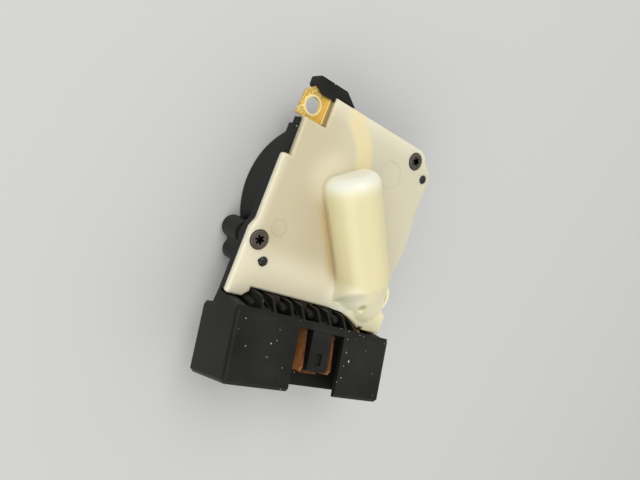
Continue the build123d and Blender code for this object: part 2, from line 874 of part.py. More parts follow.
# ---- thrust washer and return spring ---------------------------------------
with BuildPart() as thrust_washer:
    with BuildSketch(Plane.XY.offset(floor_top)):
        Circle(8.4)
        Circle(bore_r + 0.15, mode=Mode.SUBTRACT)
    extrude(amount=hub_bottom - floor_top - fit)
save(thrust_washer, "thrust_washer")

return_spring = coil(9.8, 0.5, 3.5, 5.0, Plane.XY.offset(floor_top + 0.02))
save(return_spring, "return_spring")
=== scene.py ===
from math import cos, pi, radians, sin, sqrt

import bpy
from mathutils import Matrix, Vector


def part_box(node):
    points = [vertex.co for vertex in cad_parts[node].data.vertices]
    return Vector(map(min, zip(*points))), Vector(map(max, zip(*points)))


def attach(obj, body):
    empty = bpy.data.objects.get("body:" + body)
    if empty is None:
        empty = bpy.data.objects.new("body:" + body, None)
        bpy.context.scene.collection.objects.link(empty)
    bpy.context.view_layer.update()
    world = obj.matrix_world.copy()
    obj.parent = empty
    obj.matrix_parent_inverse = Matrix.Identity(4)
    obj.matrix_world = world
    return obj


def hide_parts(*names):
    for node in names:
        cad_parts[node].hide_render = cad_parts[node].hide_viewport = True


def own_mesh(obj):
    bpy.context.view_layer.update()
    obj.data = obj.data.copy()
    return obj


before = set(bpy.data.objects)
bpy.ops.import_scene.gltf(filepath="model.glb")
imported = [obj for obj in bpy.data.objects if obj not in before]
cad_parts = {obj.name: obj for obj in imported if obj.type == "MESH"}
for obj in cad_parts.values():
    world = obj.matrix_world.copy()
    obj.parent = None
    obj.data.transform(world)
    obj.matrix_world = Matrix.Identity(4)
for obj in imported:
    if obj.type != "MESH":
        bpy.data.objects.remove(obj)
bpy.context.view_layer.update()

# The looks of an ignition switch: a natural nylon cover screwed to a black
# moulded housing, with brass and copper terminals. Lengths are in metres, so
# a number times MM is in millimetres. The plan is the view straight down.

MM = 0.001

# ---- places on the switch ---------------------------------------------------
# the cover plate's upper face
PLATE_TOP = 21 * MM
# down along the pod, and square to it towards its shaded side
POD_TURN = radians(-55)
POD_WAY = (cos(POD_TURN), sin(POD_TURN))
POD_SHADE_WAY = (sin(POD_TURN), -cos(POD_TURN))
# the middle of the pod's upper end
POD_END = (-11.5 * MM, 9.0 * MM)
# the middle of the raised corner that the pod runs into
CORNER = (7.5 * MM, -25.5 * MM)
# the supply strip under the plate runs on an arc round this middle
STRIP_MIDDLE = (-21.2 * MM, 10.6 * MM)
STRIP_TURN = 19.4 * MM
# the shroud's own directions: up through its top wall and out of its mouth
TILT = radians(16.57)
BLADE_UP = (0, sin(TILT), cos(TILT))
BLADE_OUT = (0, -cos(TILT), sin(TILT))
# the screws' middles and the top of their heads
SCREWS = [(-27.6 * MM, -15.6 * MM), (17.1 * MM, 25.9 * MM)]
SCREW_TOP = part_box("cover_screws")[1][2]
# the hole in the supply tab, and the fold between the tab and the strip
HOLE = Vector((-26.3, 25.2, 18.5)) * MM
TAB_FOLD = -21.8 * MM
# the tab's coined field begins at the first point, towards the second
COINED_FIELD = ((-25.0 * MM, 25.40 * MM), (-27.0 * MM, 25.75 * MM))
# the line scribed into the coined field, from end to end
SCRIBED = ((-30.0 * MM, 23.3 * MM), (-28.1 * MM, 25.2 * MM))

# ---- the nylon's colours ----------------------------------------------------
NYLON = (0.640, 0.580, 0.405)
NYLON_WARM = (0.615, 0.545, 0.365)
NYLON_PALE = (0.700, 0.660, 0.500)
# painted light along the plate's left and upper edges
NYLON_EDGE_LIGHT = (0.820, 0.775, 0.610)
NYLON_BEIGE = (0.560, 0.475, 0.310)
NYLON_GLOW = (0.860, 0.740, 0.430)
NYLON_LOW = (0.830, 0.760, 0.570)
NYLON_SHADE = (0.560, 0.420, 0.190)
NYLON_POD = (0.800, 0.735, 0.440)
# painted light: the pod's upper end, its tail and the raised corner are paler
NYLON_POD_END_LIT = (0.950, 0.940, 0.800)
NYLON_TAIL_LIT = (0.900, 0.845, 0.560)
NYLON_CORNER_LIT = (0.955, 0.915, 0.700)
# painted shade in the tail's dimple
NYLON_DIMPLE_SHADE = (0.660, 0.570, 0.270)
# where the plate is beige: a middle, the inner and outer radius, how strongly
BEIGE_SPOTS = [
    ((-10 * MM, -3 * MM), 2 * MM, 15 * MM, 0.55),
    ((-8 * MM, -16 * MM), 0, 12 * MM, 0.35),
    ((-24 * MM, -12.5 * MM), 0, 5 * MM, 0.45),
]

# ---- sizes of the new pieces, in mm -----------------------------------------
# Rings round the tab's hole: from, to, and how many times wider they get.
HOLE_RINGS = ((1.9, 2.2, 2.37 / 2.0), (2.4, 2.8, 2.95 / 2.6))
# The plunge round the hole: its reach, where it begins below the hole's
# middle, and the share of its depth that it keeps.
PLUNGE_REACH, PLUNGE_BELOW, PLUNGE_KEEP = 3.2, 1.0, 0.1

# Sections along the pod's tail: how far down it lies, then the crown's middle,
# the right wall, the left foot, the crown's height over the plate, the height
# of the right wall, and how high the left foot and the right foot lie.
TAIL_SECTIONS = [
    (15.6, 0.0, 8.66, -8.66, 11.95, 3.3, -0.6, -0.6),
    (18.0, 0.0, 8.71, -8.74, 12.06, 3.35, -0.3, -0.3),
    (20.0, 0.25, 8.45, -9.1, 11.88, 3.3, -0.3, -0.3),
    (21.7, 0.5, 8.0, -9.5, 11.35, 3.2, -0.3, -0.3),
    (25.5, 1.0, 7.2, -10.9, 9.3, 3.2, -0.1, 2.4),
    (27.2, 1.1, 6.9, -10.8, 8.15, 3.3, 0.8, 3.0),
    (29.2, 1.1, 6.6, -9.2, 6.8, 3.5, 2.5, 3.2),
    (31.2, 1.0, 6.3, -7.9, 5.75, 3.6, 3.5, 3.3),
    (33.5, 0.9, 5.9, -6.6, 4.8, 3.6, 3.6, 3.3),
    (36.0, 0.8, 5.4, -5.2, 3.85, 3.6, 3.6, 3.3),
]
# Round a section, from right to left, counts from 0 to 1: the upright wall takes
# this share of it at either side, and the crown is half-way.
WALL_SHARE = 0.06
CROWN_SHARE = 0.5
# The left flank stands on a wall of this height, and turns into a gentle slope
# from this far down, over this length. The power says how it falls.
FLANK_WALL = 3.3
FLANK_FROM, FLANK_OVER, FLANK_POWER = 20.5, 6, 1.6
# The dimple in the tail: its middle, half its length and width, and its depth.
DIMPLE_MIDDLE = (13.2, -25.4)
DIMPLE_LONG, DIMPLE_WIDE = 1.8225, 1.08
DIMPLE_DEPTH = 0.7
# The skirt of the tail's solid goes down this far, to this far under the plate.
SKIRT_DROP, SKIRT_FOOT = 2, 1.2

# The locating pegs' middles and the radius of their glossy tips, which begin
# just under the plate's face. Each step of a tip rises and narrows by this.
PEGS = [(-23.9, -21.2), (23.3, 21.8)]
PEG_RADIUS = 1.37
PEG_FOOT = PLATE_TOP - 0.1 * MM
PEG_STEPS = ((0.10, 1.0), (0.25, 0.927), (0.17, 0.843), (0.11, 0.748), (0.07, 0.56))

# ---- camera and lamps -------------------------------------------------------
CAMERA_PLACE = Vector((-94.67, -6.54, 139.04)) * MM
CAMERA_RIGHT = (0.755, 0.365, 0.545)
CAMERA_FORWARD = (0.592, -0.022, -0.806)
CAMERA_LENS = 27.06
LAMP_AIM = Vector((-3 * MM, -8 * MM, 15 * MM))
# name, the way towards the lamp, distance, size and watts
LAMPS = (
    ("key_lamp", (-0.35, 0.50, 0.80), 1.5, 0.9, 9.3),
    ("side_lamp", (-0.50, -0.68, 0.55), 1.5, 1.2, 7.8),
)


# ---- node helpers for the finishes ------------------------------------------
def new_finish(name):
    """An empty node material with its shader, output and object coordinates."""
    finish = bpy.data.materials.new(name)
    finish.use_nodes = True
    tree = finish.node_tree
    tree.nodes.clear()
    out = tree.nodes.new("ShaderNodeOutputMaterial")
    shader = tree.nodes.new("ShaderNodeBsdfPrincipled")
    tree.links.new(shader.outputs["BSDF"], out.inputs["Surface"])
    place = tree.nodes.new("ShaderNodeTexCoord").outputs["Object"]
    return finish, tree, shader, place


def noise(tree, place, scale, detail=4.0, rough=0.55, distortion=0.0):
    """Cloudy variation of that many features a metre."""
    node = tree.nodes.new("ShaderNodeTexNoise")
    node.inputs["Scale"].default_value = scale
    node.inputs["Detail"].default_value = detail
    node.inputs["Roughness"].default_value = rough
    node.inputs["Distortion"].default_value = distortion
    tree.links.new(place, node.inputs["Vector"])
    return node.outputs["Fac"]


def calc(tree, operation, a, b=None):
    """A Math node on sockets or plain numbers."""
    node = tree.nodes.new("ShaderNodeMath")
    node.operation = operation
    for value, socket in ((a, node.inputs[0]), (b, node.inputs[1])):
        if value is None:
            continue
        if isinstance(value, (int, float)):
            socket.default_value = value
        else:
            tree.links.new(value, socket)
    return node.outputs[0]


def product(tree, first, *others):
    """Shares multiplied with one another, so that all of them hold."""
    for other in others:
        first = calc(tree, "MULTIPLY", first, other)
    return first


def either(tree, first, second):
    """The larger of two shares."""
    return calc(tree, "MAXIMUM", first, second)


def ramp(tree, value, stops):
    """A grey ramp through (place, level) stops."""
    node = tree.nodes.new("ShaderNodeValToRGB")
    band = node.color_ramp
    while len(band.elements) < len(stops):
        band.elements.new(0.5)
    for element, (at, level) in zip(band.elements, stops):
        element.position = min(max(at, 0), 1)
        element.color = (level, level, level, 1)
    tree.links.new(value, node.inputs["Fac"])
    return node.outputs["Color"]


def roughen(tree, shader, cloud, smooth, rough):
    """Roughness that wanders between two levels with the cloud."""
    levels = ramp(tree, cloud, [(0.2, smooth), (0.8, rough)])
    tree.links.new(levels, shader.inputs["Roughness"])


def blend(tree, share, first, second):
    """Mixes two colours, which may be sockets or plain colours."""
    node = tree.nodes.new("ShaderNodeMix")
    node.data_type = "RGBA"
    tree.links.new(share, node.inputs["Factor"])
    for value, socket in ((first, node.inputs[6]), (second, node.inputs[7])):
        if isinstance(value, tuple):
            socket.default_value = (*value, 1)
        else:
            tree.links.new(value, socket)
    return node.outputs[2]


def wash(tree, base, share, colour, strength):
    """Lays a colour over the base, on that share of it and that strongly."""
    return blend(tree, product(tree, share, strength), base, colour)


def relief(tree, shader, height, depth, strength):
    """Bumps the surface by that height socket, depth metres deep."""
    bump = tree.nodes.new("ShaderNodeBump")
    bump.inputs["Strength"].default_value = strength
    bump.inputs["Distance"].default_value = depth
    tree.links.new(height, bump.inputs["Height"])
    tree.links.new(bump.outputs["Normal"], shader.inputs["Normal"])
    return bump


def between(tree, value, low, high):
    """The value's range from low to high, as 0 to 1, smoothly."""
    node = tree.nodes.new("ShaderNodeMapRange")
    node.interpolation_type = "SMOOTHSTEP"
    node.inputs["From Min"].default_value = low
    node.inputs["From Max"].default_value = high
    tree.links.new(value, node.inputs["Value"])
    return node.outputs["Result"]


def spots(tree, place, scale, size, share, seed=(0, 0, 0)):
    """1 on round spots of that size in metres, on that share of the cells."""
    shift = tree.nodes.new("ShaderNodeMapping")
    shift.inputs["Location"].default_value = seed
    tree.links.new(place, shift.inputs["Vector"])
    cells = tree.nodes.new("ShaderNodeTexVoronoi")
    cells.inputs["Scale"].default_value = scale
    tree.links.new(shift.outputs["Vector"], cells.inputs["Vector"])
    near = ramp(tree, cells.outputs["Distance"], [(size * scale * 0.5, 1), (size * scale, 0)])
    pick = tree.nodes.new("ShaderNodeSeparateColor")
    tree.links.new(cells.outputs["Color"], pick.inputs["Color"])
    chosen = calc(tree, "LESS_THAN", pick.outputs[0], share)
    return product(tree, near, chosen)


def axis_of(tree, place, name):
    """One coordinate of a place."""
    node = tree.nodes.new("ShaderNodeSeparateXYZ")
    tree.links.new(place, node.inputs["Vector"])
    return node.outputs[name]


def vector_calc(tree, operation, first, second=None):
    """A Vector Math node on a socket and, where it takes one, a plain vector."""
    node = tree.nodes.new("ShaderNodeVectorMath")
    node.operation = operation
    tree.links.new(first, node.inputs[0])
    if second is not None:
        node.inputs[1].default_value = second
    return node


def reach_from(tree, place, middle):
    """Distance in metres from a point of the plan."""
    shift = vector_calc(tree, "SUBTRACT", place, (middle[0], middle[1], 0))
    flat = vector_calc(tree, "MULTIPLY", shift.outputs[0], (1, 1, 0))
    return vector_calc(tree, "LENGTH", flat.outputs[0]).outputs["Value"]


def soft_spot(tree, place, middle, inner, outer):
    """1 within the inner radius of a point of the plan, fading to 0 at the outer."""
    return between(tree, reach_from(tree, place, middle), outer, inner)


def way_between(start, end):
    """The direction from one point of the plan to another."""
    length = sqrt((end[0] - start[0]) ** 2 + (end[1] - start[1]) ** 2)
    return (end[0] - start[0]) / length, (end[1] - start[1]) / length


def run_from(tree, place, start, way):
    """Distance in metres from a point of the plan, counted along a direction."""
    x = calc(tree, "MULTIPLY", axis_of(tree, place, "X"), way[0])
    y = calc(tree, "MULTIPLY", axis_of(tree, place, "Y"), way[1])
    offset = -(start[0] * way[0] + start[1] * way[1])
    return calc(tree, "ADD", calc(tree, "ADD", x, y), offset)


def along(tree, place, start, end):
    """Distance in metres along the line from start towards end in the plan."""
    return run_from(tree, place, start, way_between(start, end))


def across(tree, place, start, end):
    """Distance in metres from the line through two points of the plan."""
    ahead = way_between(start, end)
    return calc(tree, "ABSOLUTE", run_from(tree, place, start, (-ahead[1], ahead[0])))


def object_normal(tree):
    """Which way the surface faces, in the switch's own axes."""
    return tree.nodes.new("ShaderNodeTexCoord").outputs["Normal"]


def facing_share(tree, direction, low, high):
    """0 to 1 as the surface turns to face along that direction, either way."""
    dot = vector_calc(tree, "DOT_PRODUCT", object_normal(tree), direction)
    return between(tree, calc(tree, "ABSOLUTE", dot.outputs["Value"]), low, high)


def rolling_lines(tree, place, scale):
    """Fine lines along Y, as rolled strip has."""
    stretch = tree.nodes.new("ShaderNodeMapping")
    stretch.inputs["Scale"].default_value = (1, 0.04, 1)
    tree.links.new(place, stretch.inputs["Vector"])
    return noise(tree, stretch.outputs["Vector"], scale, detail=2)


# ---- finishes ---------------------------------------------------------------
def moulded_black():
    """Black glass-filled plastic: fine grain, faint flow marks and dust."""
    finish, tree, shader, place = new_finish("moulded_black")
    flow = noise(tree, place, scale=60, detail=3)
    grain = noise(tree, place, scale=5200, detail=2)
    body = blend(tree, flow, (0.0062, 0.0062, 0.0054), (0.0105, 0.0104, 0.0092))
    # settled dust and a few larger specks, only on what faces up
    facing = axis_of(tree, object_normal(tree), "Z")
    dust = spots(tree, place, scale=620, size=0.20 * MM, share=0.32)
    lint = spots(tree, place, scale=300, size=0.34 * MM, share=0.20, seed=(0.02, 0.01, 0))
    marks = product(tree, either(tree, dust, lint), between(tree, facing, 0.1, 0.6))
    colour = blend(tree, marks, body, (0.72, 0.70, 0.66))
    # the upper faces are a little lighter, in clouds
    upper_face_lightening = product(tree, between(tree, facing, 0.5, 1.0), between(tree, flow, 0.2, 0.8))
    colour = wash(tree, colour, upper_face_lightening, (0.30, 0.29, 0.28), strength=0.045)
    tree.links.new(colour, shader.inputs["Base Color"])
    roughen(tree, shader, flow, 0.42, 0.54)
    shader.inputs["Specular IOR Level"].default_value = 0.18
    bump = relief(tree, shader, grain, depth=0.02 * MM, strength=0.6)
    # every moulded edge is slightly rounded and catches the light
    rounding = tree.nodes.new("ShaderNodeBevel")
    rounding.samples = 8
    rounding.inputs["Radius"].default_value = 0.28 * MM
    tree.links.new(rounding.outputs["Normal"], bump.inputs["Normal"])
    return finish


def plate_colour(tree, place, cloud):
    """The cover plate: paler, beige and warm in places, with painted light along its left and
    upper edges.
    """
    x, y = (axis_of(tree, place, name) for name in "XY")
    body = blend(tree, between(tree, cloud, 0.25, 0.75), NYLON, NYLON_WARM)
    # paler towards the far corner, and beige in soft spots, the strongest beside the pod's shaded
    # side
    far_corner = between(tree, calc(tree, "ADD", x, y), -6 * MM, 24 * MM)
    body = blend(tree, far_corner, body, NYLON_PALE)
    for middle, inner, outer, strength in BEIGE_SPOTS:
        spot = soft_spot(tree, place, middle, inner, outer)
        body = wash(tree, body, spot, NYLON_BEIGE, strength)
    # paler at the foot and round the pod's upper end
    body = blend(tree, between(tree, y, -13 * MM, -23 * MM), body, NYLON_LOW)
    end_glow = soft_spot(tree, place, POD_END, 4 * MM, 11 * MM)
    body = wash(tree, body, end_glow, NYLON_LOW, strength=0.5)
    # painted light: the plate's left and upper edges are paler, where light catches and glows
    # through them
    lit_left_edge = between(tree, x, -27.2 * MM, -30.6 * MM)
    lit_upper_edge = between(tree, y, 24 * MM, 30 * MM)
    body = wash(tree, body, either(tree, lit_left_edge, lit_upper_edge), NYLON_EDGE_LIGHT, strength=0.75)
    # the supply strip shows through the plate as a warm band
    off_strip = calc(tree, "SUBTRACT", reach_from(tree, place, STRIP_MIDDLE), STRIP_TURN)
    band = product(
        tree,
        between(tree, calc(tree, "ABSOLUTE", off_strip), 4.2 * MM, 1.8 * MM),
        between(tree, x, -17 * MM, -12 * MM),
        between(tree, y, 11 * MM, 15 * MM),
    )
    return wash(tree, body, band, NYLON_GLOW, strength=0.8)


def natural_nylon():
    """Cream nylon, a little translucent, with warmer clouds and a waxy skin."""
    finish, tree, shader, place = new_finish("natural_nylon")
    cloud = noise(tree, place, scale=28, detail=3, rough=0.5, distortion=0.4)
    fine = noise(tree, place, scale=900, detail=3)
    height = axis_of(tree, place, "Z")
    body = plate_colour(tree, place, cloud)
    # the hollow pod's wall is yellower than the plate; painted light makes its
    # upper end, its tail and the corner that it runs into paler
    down = along(tree, place, (0, 0), POD_WAY)
    raised = between(tree, height, PLATE_TOP + 0.3 * MM, PLATE_TOP + 3.0 * MM)
    pod = blend(tree, between(tree, down, -8 * MM, -14 * MM), NYLON_POD, NYLON_POD_END_LIT)
    pod = blend(tree, between(tree, down, 17 * MM, 31 * MM), pod, NYLON_TAIL_LIT)
    body = wash(tree, body, raised, pod, strength=0.9)
    # painted light: the raised corner that the pod runs into is paler
    corner = soft_spot(tree, place, CORNER, 3 * MM, 8 * MM)
    body = wash(tree, body, corner, NYLON_CORNER_LIT, strength=0.85)
    # painted shade: the dimple in the tail is darker
    dimple_middle = [v * MM for v in DIMPLE_MIDDLE]
    dimple = soft_spot(tree, place, dimple_middle, 0.8 * MM, 1.4 * MM)
    dimple = product(tree, dimple, between(tree, height, PLATE_TOP, PLATE_TOP + MM))
    body = wash(tree, body, dimple, NYLON_DIMPLE_SHADE, strength=0.8)
    # painted shade, warm and dark, in the corner along the pod's shaded side
    side = along(tree, place, (0, 0), POD_SHADE_WAY)
    painted_shade_lane = product(
        tree,
        between(tree, side, 6.5 * MM, 8.6 * MM),
        between(tree, side, 12.5 * MM, 9.2 * MM),
        between(tree, down, -12 * MM, -2 * MM),
        between(tree, down, 21 * MM, 13 * MM),
        between(tree, height, PLATE_TOP + 2.5 * MM, PLATE_TOP + 0.2 * MM),
    )
    body = wash(tree, body, painted_shade_lane, NYLON_SHADE, strength=0.7)
    tree.links.new(body, shader.inputs["Base Color"])
    roughen(tree, shader, cloud, 0.28, 0.40)
    shader.inputs["Subsurface Weight"].default_value = 0.6
    shader.inputs["Subsurface Radius"].default_value = (1.0, 0.8, 0.45)
    shader.inputs["Subsurface Scale"].default_value = 2.2 * MM
    shader.inputs["Specular IOR Level"].default_value = 0.5
    relief(tree, shader, fine, depth=0.02 * MM, strength=0.5)
    return finish


def stamped_brass():
    """Brass strip: sandy and matt where it was coined, bright elsewhere."""
    finish, tree, shader, place = new_finish("stamped_brass")
    cloud = noise(tree, place, scale=240, detail=4)
    grit = noise(tree, place, scale=1900, detail=3, rough=0.6)
    bright = blend(tree, between(tree, cloud, 0.3, 0.75), (0.90, 0.60, 0.13), (0.80, 0.48, 0.08))
    coined = blend(tree, between(tree, grit, 0.38, 0.62), (0.50, 0.33, 0.065), (0.92, 0.68, 0.22))
    # the coined field lies outside a slanting line through the tab
    field = between(tree, along(tree, place, *COINED_FIELD), -0.2 * MM, 0.5 * MM)
    colour = blend(tree, field, bright, coined)
    # painted shade: the strip past the fold is darker
    x, y = (axis_of(tree, place, name) for name in "XY")
    inboard = between(tree, y, 19 * MM, 20 * MM)
    shaded_past_fold = product(tree, between(tree, x, TAB_FOLD, TAB_FOLD + 0.3 * MM), inboard)
    colour = blend(tree, shaded_past_fold, colour, (0.46, 0.31, 0.09))
    # painted highlights on the plunge's lip and the fold, and a pale scribed line
    reach = reach_from(tree, place, HOLE)
    lip_highlight = product(
        tree,
        between(tree, reach, 2.25 * MM, 2.45 * MM),
        between(tree, reach, 3.15 * MM, 2.85 * MM),
    )
    off_fold = calc(tree, "ABSOLUTE", calc(tree, "SUBTRACT", x, TAB_FOLD))
    fold_highlight = product(tree, between(tree, off_fold, 0.30 * MM, 0.14 * MM), inboard)
    scribed = product(
        tree,
        between(tree, across(tree, place, *SCRIBED), 0.22 * MM, 0.08 * MM),
        between(tree, along(tree, place, *SCRIBED), 3.0 * MM, 2.6 * MM),
        field,
    )
    highlights_and_scribed_line = either(tree, either(tree, lip_highlight, fold_highlight), scribed)
    colour = wash(tree, colour, highlights_and_scribed_line, (1.0, 0.86, 0.44), strength=0.9)
    tree.links.new(colour, shader.inputs["Base Color"])
    shader.inputs["Metallic"].default_value = 0.6
    rough = blend(tree, field, (0.34, 0.34, 0.34), (0.52, 0.52, 0.52))
    tree.links.new(rough, shader.inputs["Roughness"])
    grain = blend(tree, field, rolling_lines(tree, place, 4200), grit)
    relief(tree, shader, grain, depth=0.03 * MM, strength=0.7)
    return finish


def stamped_copper():
    """Copper blades: warm rolled faces, painted shade on their edges and a painted highlight on
    their cut ends.
    """
    finish, tree, shader, place = new_finish("stamped_copper")
    cloud = noise(tree, place, scale=260, detail=4)
    face = blend(tree, between(tree, cloud, 0.3, 0.7), (0.78, 0.34, 0.11), (0.55, 0.21, 0.06))
    # painted shade: the blades' edges that face up and down are dark
    shaded_top_edge = blend(tree, between(tree, cloud, 0.4, 0.7), (0.10, 0.032, 0.012), (0.22, 0.08, 0.03))
    colour = blend(tree, facing_share(tree, BLADE_UP, 0.6, 0.9), face, shaded_top_edge)
    # painted highlight: the blades' ends that face out of the mouth are pale
    colour = blend(tree, facing_share(tree, BLADE_OUT, 0.6, 0.9), colour, (0.93, 0.56, 0.30))
    tree.links.new(colour, shader.inputs["Base Color"])
    shader.inputs["Metallic"].default_value = 0.65
    roughen(tree, shader, cloud, 0.30, 0.46)
    relief(tree, shader, rolling_lines(tree, place, 4200), depth=0.01 * MM, strength=0.5)
    return finish


def screw_finish():
    """Dark passivated steel, dull on the head, with painted shade making the recess black."""
    finish, tree, shader, place = new_finish("screw_finish")
    cloud = noise(tree, place, scale=900, detail=4)
    head = blend(
        tree, between(tree, cloud, 0.3, 0.7), (0.165, 0.142, 0.118), (0.105, 0.092, 0.076)
    )
    # painted shade: the recess below the head's face is black
    height = axis_of(tree, place, "Z")
    sunk = between(tree, height, SCREW_TOP - 0.06 * MM, SCREW_TOP - 0.30 * MM)
    first, second = (soft_spot(tree, place, at, 1.75 * MM, 1.95 * MM) for at in SCREWS)
    recess = product(tree, either(tree, first, second), sunk)
    colour = blend(tree, recess, head, (0.006, 0.005, 0.004))
    tree.links.new(colour, shader.inputs["Base Color"])
    shader.inputs["Metallic"].default_value = 0.9
    roughen(tree, shader, cloud, 0.38, 0.52)
    relief(tree, shader, noise(tree, place, 5000, 2), depth=0.01 * MM, strength=0.6)
    return finish


def clouded_finish(name, cloud, colours, rough, grain, metallic=0.0):
    """A plain finish: two near colours in clouds, over a fine grain.

    The cloud is a scale and a detail. The grain is a scale, how deep it is in
    metres, and its strength.
    """
    finish, tree, shader, place = new_finish(name)
    clouds = noise(tree, place, *cloud)
    tree.links.new(blend(tree, clouds, *colours), shader.inputs["Base Color"])
    roughen(tree, shader, clouds, *rough)
    shader.inputs["Metallic"].default_value = metallic
    scale, depth, strength = grain
    relief(tree, shader, noise(tree, place, scale, detail=2), depth, strength)
    return finish


def spring_wire():
    """Bright drawn wire."""
    return clouded_finish(
        "spring_wire",
        cloud=(1500, 3),
        colours=((0.62, 0.62, 0.63), (0.45, 0.45, 0.46)),
        rough=(0.24, 0.38),
        grain=(6000, 0.01 * MM, 0.4),
        metallic=1.0,
    )


def turned_nylon():
    """White slippery plastic for the plunger and washer."""
    return clouded_finish(
        "turned_nylon",
        cloud=(200, 3),
        colours=((0.68, 0.66, 0.58), (0.60, 0.57, 0.48)),
        rough=(0.3, 0.42),
        grain=(3000, 0.01 * MM, 0.4),
    )


def rotor_moulding():
    """Grey-white glass-filled plastic."""
    return clouded_finish(
        "rotor_moulding",
        cloud=(150, 4),
        colours=((0.46, 0.44, 0.38), (0.38, 0.36, 0.31)),
        rough=(0.4, 0.55),
        grain=(4200, 0.02 * MM, 0.5),
    )


def peg_gloss():
    """Polished black plastic."""
    return clouded_finish(
        "peg_gloss",
        cloud=(700, 3),
        colours=((0.006, 0.006, 0.005), (0.012, 0.012, 0.010)),
        rough=(0.16, 0.26),
        grain=(2500, 0.02 * MM, 0.4),
    )


def dress(piece, finish):
    """Gives a piece that finish and no other."""
    piece.data.materials.clear()
    piece.data.materials.append(finish)


BRASS = stamped_brass()
PEG_GLOSS = peg_gloss()
COPPER = stamped_copper()
WIRE = spring_wire()
WHITE = turned_nylon()
FINISHES = {
    "housing": moulded_black(),
    "cover": natural_nylon(),
    "cover_screws": screw_finish(),
    "battery_terminal": BRASS,
    "terminal_key_sense": BRASS,
    "terminal_ignition_1": COPPER,
    "terminal_ignition_2": COPPER,
    "terminal_feed": COPPER,
    "terminal_accessory": COPPER,
    "terminal_start": COPPER,
    "contact_bridge_ignition": COPPER,
    "contact_bridge_accessory": COPPER,
    "contact_bridge_start": COPPER,
    "contact_spring_ignition": WIRE,
    "contact_spring_accessory": WIRE,
    "contact_spring_start": WIRE,
    "detent_spring": WIRE,
    "return_spring": WIRE,
    "detent_plunger": WHITE,
    "thrust_washer": WHITE,
    "rotor": rotor_moulding(),
}
for node_name, node_finish in FINISHES.items():
    dress(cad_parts[node_name], node_finish)


# ---- helpers for the pieces -------------------------------------------------
def copy_of(node, name):
    """A merged copy of a node's mesh as a new piece, the only thing selected."""
    bpy.ops.object.select_all(action="DESELECT")
    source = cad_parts[node]
    piece = bpy.data.objects.new(name, source.data.copy())
    piece.data.name = name
    bpy.context.scene.collection.objects.link(piece)
    bpy.context.view_layer.objects.active = piece
    piece.select_set(True)
    bpy.ops.object.mode_set(mode="EDIT")
    bpy.ops.mesh.select_all(action="SELECT")
    bpy.ops.mesh.remove_doubles(threshold=0.002 * MM)
    bpy.ops.mesh.select_all(action="DESELECT")
    bpy.ops.mesh.customdata_custom_splitnormals_clear()
    bpy.ops.object.mode_set(mode="OBJECT")
    return piece


def pick_points(piece, wanted):
    """Selects the points whose place passes a test, ready for an operator."""
    bpy.ops.object.mode_set(mode="EDIT")
    bpy.ops.mesh.select_mode(type="VERT")
    bpy.ops.mesh.select_all(action="DESELECT")
    bpy.ops.object.mode_set(mode="OBJECT")
    for point in piece.data.vertices:
        point.select = wanted(point.co)
    bpy.ops.object.mode_set(mode="EDIT")


# ---- the supply strip with its plunged hole ---------------------------------
def hole_reach(place):
    """Distance from the axis of the tab's hole, in mm."""
    return (place - HOLE).xy.length / MM


def make_supply_strip():
    """The stamped strip, its hole plunged wide and shallow with a soft rim."""
    strip = copy_of("battery_terminal", "supply_strip")
    for low, high, grow in HOLE_RINGS:
        pick_points(strip, lambda place: low < hole_reach(place) < high)
        bpy.ops.transform.resize(value=(grow, grow, 1), center_override=HOLE)
        bpy.ops.object.mode_set(mode="OBJECT")
    # the plunge stays just below the sheet
    low_ring = HOLE.z - PLUNGE_BELOW * MM
    pick_points(strip, lambda place: hole_reach(place) < PLUNGE_REACH and place.z < low_ring)
    bpy.ops.transform.resize(value=(1, 1, PLUNGE_KEEP), center_override=HOLE)
    bpy.ops.object.mode_set(mode="OBJECT")
    round_off = strip.modifiers.new("soft edges", "BEVEL")
    round_off.width = 0.13 * MM
    round_off.segments = 2
    round_off.angle_limit = radians(40)
    bpy.ops.object.modifier_apply(modifier="soft edges")
    bpy.ops.object.shade_smooth_by_angle(angle=radians(35))
    dress(strip, BRASS)
    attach(strip, "base")
    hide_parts("battery_terminal")


# ---- the cover with the pod's tail ------------------------------------------
def smooth_through(table, at):
    """The table's row at that place, on a smooth curve through its rows."""
    row = 0
    while row < len(table) - 2 and at > table[row + 1][0]:
        row += 1
    before, start, end, after = (
        table[min(max(k, 0), len(table) - 1)] for k in (row - 1, row, row + 1, row + 2)
    )
    span = end[0] - start[0]
    t = (at - start[0]) / span
    values = []
    for k in range(1, len(start)):
        # the slopes at both rows come from the rows on either side of them
        leave = (end[k] - before[k]) / max(end[0] - before[0], 0.001) * span
        arrive = (after[k] - start[k]) / max(after[0] - start[0], 0.001) * span
        values.append(
            (2 * t**3 - 3 * t**2 + 1) * start[k]
            + (t**3 - 2 * t**2 + t) * leave
            + (3 * t**2 - 2 * t**3) * end[k]
            + (t**3 - t**2) * arrive
        )
    return values


def dimple_depth(x, y):
    """How deep the dimple is at a point of the plan, all in mm."""
    x_off, y_off = x - DIMPLE_MIDDLE[0], y - DIMPLE_MIDDLE[1]
    lengthwise = (x_off * POD_WAY[0] + y_off * POD_WAY[1]) / DIMPLE_LONG
    crosswise = (x_off * POD_WAY[1] - y_off * POD_WAY[0]) / DIMPLE_WIDE
    reach = sqrt(lengthwise**2 + crosswise**2)
    # a flat floor with a steep rounded rim
    return DIMPLE_DEPTH * min(1, 2.2 * max(1 - reach, 0)) ** 0.7


